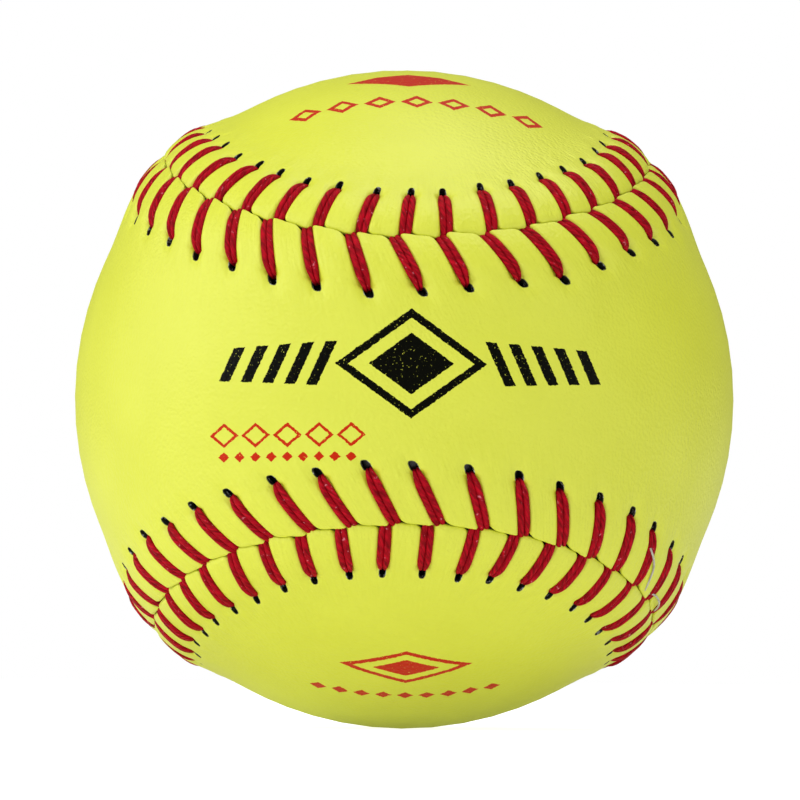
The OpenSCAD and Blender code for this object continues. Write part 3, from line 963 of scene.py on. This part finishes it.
def optic_yellow_leather():
    material, tree = new_material("optic_yellow_dyed_leather")
    mm = in_mm(tree)
    seam = add(tree, "ShaderNodeAttribute", attribute_name="along_seam")
    combed = add(tree, "ShaderNodeVectorMath",
                 {0: seam.outputs["Vector"],
                  1: (1 / STREAK_MM, 1 / STREAK_MM, 1 / STREAK_LONG_MM)}, operation="MULTIPLY")
    streaks = add(tree, "ShaderNodeTexNoise", {"Vector": combed.outputs[0], "Scale": 1.0,
                                               "Detail": 3.0})
    from_seam = add(tree, "ShaderNodeSeparateXYZ", {0: seam.outputs["Vector"]})
    on_welt = add(tree, "ShaderNodeMapRange", {"Value": from_seam.outputs[2],
                                               "From Min": STREAKS_FADE_MM[0],
                                               "From Max": STREAKS_FADE_MM[1],
                                               "To Min": 1.0, "To Max": 0.0})
    patches = add(tree, "ShaderNodeTexNoise", {"Vector": mm, "Scale": PATCHES_PER_MM,
                                               "Detail": 3.0})
    uneven = add(tree, "ShaderNodeMix", {"Factor": on_welt.outputs[0], "A": patches.outputs[0],
                                         "B": streaks.outputs[0]})
    dye = add(tree, "ShaderNodeMix", {"Factor": uneven.outputs[0], "A": linear("#d7dd2c"),
                                      "B": linear("#e2e83f")}, data_type="RGBA")
    black_ink, red_ink = print_masks(tree, mm)
    with_black = add(tree, "ShaderNodeMix", {"Factor": black_ink, "A": dye.outputs[2],
                                             "B": linear("#0a0b06")}, data_type="RGBA")
    with_red = add(tree, "ShaderNodeMix", {"Factor": red_ink, "A": with_black.outputs[2],
                                           "B": linear("#c62a12")}, data_type="RGBA")
    # Cut edges and hole walls: the near-black is painted shade of the deep holes and the seam gap,
    # and the pale specks are painted glints among a few pale fibres.
    fibres = add(tree, "ShaderNodeTexNoise", {"Vector": mm, "Scale": GLINTS_AND_FIBRES_PER_MM,
                                              "Detail": 2.0})
    pale = add(tree, "ShaderNodeMapRange", {"Value": fibres.outputs[0], "From Min": 0.58,
                                            "From Max": 0.66})
    edge_shade_and_glints = add(tree, "ShaderNodeMix", {"Factor": pale.outputs[0], "A": linear("#16180f"),
                                       "B": linear("#aeb4b8")}, data_type="RGBA")
    edge = add(tree, "ShaderNodeAttribute", attribute_name="cut_edge")
    rim = add(tree, "ShaderNodeAttribute", attribute_name="hole_rim")
    rim_only = add(tree, "ShaderNodeMapRange", {"Value": rim.outputs["Fac"], "From Min": 0.45,
                                                "From Max": 0.9})
    edge_and_rim_shade = add(tree, "ShaderNodeMath", {0: edge.outputs["Fac"], 1: rim_only.outputs[0]},
               operation="MAXIMUM")
    with_edge_shade = add(tree, "ShaderNodeMix", {"Factor": edge_and_rim_shade.outputs[0], "A": with_red.outputs[2],
                                            "B": edge_shade_and_glints.outputs[2]}, data_type="RGBA")
    pebbles = add(tree, "ShaderNodeTexVoronoi", {"Vector": mm, "Scale": PEBBLES_PER_MM,
                                                 "Smoothness": 0.6}, feature="SMOOTH_F1")
    grain = add(tree, "ShaderNodeTexNoise", {"Vector": mm, "Scale": GRAIN_PER_MM,
                                             "Detail": 4.0})
    pebbled = add(tree, "ShaderNodeMath", {0: pebbles.outputs["Distance"],
                                           1: grain.outputs[0]}, operation="ADD")
    streak_h = add(tree, "ShaderNodeMath", {0: streaks.outputs[0], 1: on_welt.outputs[0]},
                   operation="MULTIPLY")
    relief = add(tree, "ShaderNodeMath", {0: streak_h.outputs[0], 1: STREAKS_IN_RELIEF,
                                          2: pebbled.outputs[0]}, operation="MULTIPLY_ADD")
    bump = add(tree, "ShaderNodeBump", {"Height": relief.outputs[0], "Strength": 0.75,
                                        "Distance": 0.08 * MM})
    any_ink = add(tree, "ShaderNodeMath", {0: black_ink, 1: red_ink}, operation="MAXIMUM")
    sheen = add(tree, "ShaderNodeMix", {"Factor": any_ink.outputs[0], "A": (1, 1, 1, 1),
                                        "B": linear("#202020")}, data_type="RGBA")
    shader = add(tree, "ShaderNodeBsdfPrincipled", {"Base Color": with_edge_shade.outputs[2],
                                                    "Roughness": 0.5,
                                                    "Specular IOR Level": 0.75,
                                                    "Specular Tint": sheen.outputs[2],
                                                    "Normal": bump.outputs[0]})
    add(tree, "ShaderNodeOutputMaterial", {"Surface": shader.outputs[0]})
    return material


leather_finish = optic_yellow_leather()
for leather in (panel_a, panel_b):
    leather.data.materials.clear()
    leather.data.materials.append(leather_finish)

# %% [markdown]
# The lacing is cotton thread in crimson, waxed so that it slides through the leather. The wax
# deepens the colour, the fibres show as slanting lines, and a few broken ones are pale. Real
# fibres, some 0.02 mm thick, wouldn't show, so about eight lines are drawn round a strand. The
# loose end has no dye and no wax.

# %% Threads
FIBRES_ROUND = 8.0
SLANT_PER_MM = 1.6
FIBRE_ENDS_PER_MM = 0.7
SPECKS_PER_MM = 1.6


def thread_finish(name, dark, light, fleck, fleck_from):
    material, tree = new_material(name)
    uv = add(tree, "ShaderNodeUVMap", uv_map="along")
    slanted = add(tree, "ShaderNodeVectorMath",
                  {0: uv.outputs[0], 1: (FIBRES_ROUND, SLANT_PER_MM, 0)}, operation="DOT_PRODUCT")
    along = add(tree, "ShaderNodeVectorMath",
                {0: uv.outputs[0], 1: (0, FIBRE_ENDS_PER_MM, 0)}, operation="DOT_PRODUCT")
    drawn = add(tree, "ShaderNodeCombineXYZ", {0: slanted.outputs["Value"],
                                               1: along.outputs["Value"]})
    fibres = add(tree, "ShaderNodeTexNoise", {"Vector": drawn.outputs[0], "Scale": 1.0,
                                              "Detail": 4.0})
    shade = add(tree, "ShaderNodeMapRange", {"Value": fibres.outputs[0], "From Min": 0.34,
                                             "From Max": 0.68})
    colour = add(tree, "ShaderNodeMix", {"Factor": shade.outputs[0], "A": linear(dark),
                                         "B": linear(light)}, data_type="RGBA")
    specks = add(tree, "ShaderNodeTexNoise", {"Vector": in_mm(tree), "Scale": SPECKS_PER_MM,
                                              "Detail": 3.0})
    broken = add(tree, "ShaderNodeMapRange", {"Value": specks.outputs[0],
                                              "From Min": fleck_from,
                                              "From Max": fleck_from + 0.06})
    flecked = add(tree, "ShaderNodeMix", {"Factor": broken.outputs[0],
                                          "A": colour.outputs[2],
                                          "B": linear(fleck)}, data_type="RGBA")
    bump = add(tree, "ShaderNodeBump", {"Height": fibres.outputs[0], "Strength": 0.6,
                                        "Distance": 0.12 * MM})
    shader = add(tree, "ShaderNodeBsdfPrincipled", {"Base Color": flecked.outputs[2],
                                                    "Roughness": 0.58,
                                                    "Specular IOR Level": 0.08,
                                                    "Normal": bump.outputs[0]})
    add(tree, "ShaderNodeOutputMaterial", {"Surface": shader.outputs[0]})
    return material


crimson = thread_finish("waxed_crimson_cotton_thread", dark="#720008", light="#c40a22",
                        fleck="#d0707c", fleck_from=0.67)
undyed = thread_finish("undyed_tacking_thread", dark="#a8a498", light="#dcd8cc",
                       fleck="#efece4", fleck_from=0.6)
for thread in (thread_one, thread_two):
    thread.data.materials.append(crimson)
tack_end.data.materials.append(undyed)

# %% [markdown]
# The core and the cement hardly show, but they are part of the ball, so they get their own
# finishes: a tan foam with fine pores, and a film of dried cement whose near-black colour is
# painted shade for the deep awl holes above it.

# %% Foam and cement
def speckled(name, dark, light, per_mm, roughness):
    material, tree = new_material(name)
    mm = in_mm(tree)
    pores = add(tree, "ShaderNodeTexNoise", {"Vector": mm, "Scale": per_mm, "Detail": 5.0})
    colour = add(tree, "ShaderNodeMix", {"Factor": pores.outputs[0], "A": linear(dark),
                                         "B": linear(light)}, data_type="RGBA")
    bump = add(tree, "ShaderNodeBump", {"Height": pores.outputs[0], "Strength": 0.3,
                                        "Distance": 0.1 * MM})
    shader = add(tree, "ShaderNodeBsdfPrincipled", {"Base Color": colour.outputs[2],
                                                    "Roughness": roughness,
                                                    "Normal": bump.outputs[0]})
    add(tree, "ShaderNodeOutputMaterial", {"Surface": shader.outputs[0]})
    return material


foam = speckled("moulded_polyurethane_foam", dark="#b59a63", light="#d9c48c", per_mm=3.0,
                roughness=0.8)
# The cement's near-black is painted shade: it is what shows at the bottom of the deep awl holes.
cement = speckled("dried_cement_painted_shade", dark="#0b0b09", light="#24231c", per_mm=1.2,
                  roughness=0.25)
for node, finish in (("core", foam), ("cement_film", cement)):
    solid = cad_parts[node]
    solid.data.materials.clear()
    solid.data.materials.append(finish)
print("materials:", sorted(m.name for m in bpy.data.materials if m.users))

# %% [markdown]
# ## Floor and light
# The ball lies on a white floor in a white room. Both look white to the camera only. The
# ball takes its light from large soft lamps: one over it, two on the left, which give the pale
# sheen there, and weaker ones by the camera and on the right. The floor is lit a little from
# within, as a catalogue's light table is, and keeps the ball's shadow.

# %% Floor
FLOOR_SIZE = 6
TABLE_GLOW = 0.18
CAMERA_GLOW = 0.86
floor_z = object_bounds()[0].z
deselect_all()
bpy.ops.mesh.primitive_plane_add(size=FLOOR_SIZE, location=(0, 0, floor_z))
floor = bpy.context.object
floor.name = "studio_floor"
floor_paint, tree = new_material("white_studio_floor")
seen = add(tree, "ShaderNodeLightPath")
painted = add(tree, "ShaderNodeBsdfDiffuse", {"Color": linear("#f4f4f4")})
table_light = add(tree, "ShaderNodeEmission", {"Color": (1, 1, 1, 1), "Strength": TABLE_GLOW})
white_light = add(tree, "ShaderNodeEmission", {"Color": (1, 1, 1, 1), "Strength": CAMERA_GLOW})
lit = add(tree, "ShaderNodeAddShader", {0: painted.outputs[0], 1: table_light.outputs[0]})
whitened = add(tree, "ShaderNodeAddShader", {0: painted.outputs[0], 1: white_light.outputs[0]})
for_camera = add(tree, "ShaderNodeMixShader", {0: seen.outputs["Is Camera Ray"],
                                               1: lit.outputs[0],
                                               2: whitened.outputs[0]})
add(tree, "ShaderNodeOutputMaterial", {"Surface": for_camera.outputs[0]})
floor.data.materials.append(floor_paint)
print(f"floor {FLOOR_SIZE} m wide, {floor_z / MM:.2f} mm from the ball's centre")

# %% Lamps and room
ROOM_LIGHT = 0.18


def soft_lamp(name, place_at, wide, watts):
    deselect_all()
    aim = (-Vector(place_at)).to_track_quat("-Z", "Y").to_euler()
    bpy.ops.object.light_add(type="AREA", location=place_at, rotation=aim)
    lamp = bpy.context.object
    lamp.name = name
    lamp.data.shape = "DISK"
    lamp.data.size = wide
    lamp.data.energy = watts
    return lamp


lamps = [soft_lamp("over_the_ball", (0.25, -0.12, 1.5), wide=1.5, watts=13.6),
         soft_lamp("high_left", (-1.0, -0.85, 0.7), wide=1.3, watts=7.6),
         soft_lamp("low_left", (-1.45, 0, 0.4), wide=1.3, watts=7.6),
         soft_lamp("by_the_camera", (-0.15, -1.75, 0.2), wide=1.2, watts=4),
         soft_lamp("right", (1.2, -0.8, 0.3), wide=1.1, watts=2.8)]
world = bpy.context.scene.world or bpy.data.worlds.new("room")
bpy.context.scene.world = world
world.use_nodes = True
world.node_tree.nodes.clear()
tree = world.node_tree
rays = add(tree, "ShaderNodeLightPath")
seen_direct = add(tree, "ShaderNodeMath", {0: rays.outputs["Is Camera Ray"],
                                           1: rays.outputs["Is Transmission Ray"]},
                  operation="MAXIMUM")
room = add(tree, "ShaderNodeBackground", {"Color": (1, 1, 1, 1), "Strength": ROOM_LIGHT})
white = add(tree, "ShaderNodeBackground", {"Color": (1, 1, 1, 1), "Strength": 1.0})
choice = add(tree, "ShaderNodeMixShader", {0: seen_direct.outputs[0], 1: room.outputs[0],
                                           2: white.outputs[0]})
add(tree, "ShaderNodeOutputWorld", {"Surface": choice.outputs[0]})
bpy.context.scene.view_settings.view_transform = "Standard"
print("lamps:", [lamp.data.energy for lamp in lamps], "watts; room", ROOM_LIGHT)
